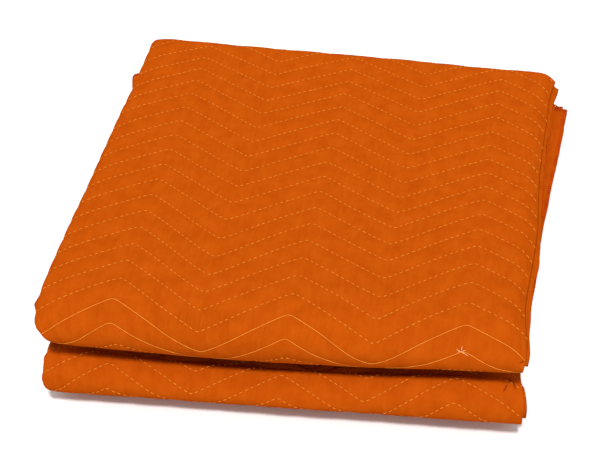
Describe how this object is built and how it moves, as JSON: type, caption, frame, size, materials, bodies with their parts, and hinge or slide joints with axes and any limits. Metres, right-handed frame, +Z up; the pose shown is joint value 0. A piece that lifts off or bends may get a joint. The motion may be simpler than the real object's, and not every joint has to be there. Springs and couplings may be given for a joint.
{
  "type": "stack of two folded quilted moving blankets",
  "caption": "Folded quilted moving blankets stacked with their round folds to the front, with zigzag stitched rows.",
  "frame": {"origin": "middle of the stack's bounding box on the floor", "axes": "+Z up, -Y towards the round front folds, +X to the right as seen from the front"},
  "size_m": [0.5446, 0.5086, 0.1293],
  "materials": {
    "quilted_cloth": "matt orange non-woven cloth over wadding, quilted in pale orange thread"
  },
  "bodies": {
    "root": {"upper_blanket": "quilted_cloth", "lower_blanket": "quilted_cloth"}
  },
  "joints": []
}
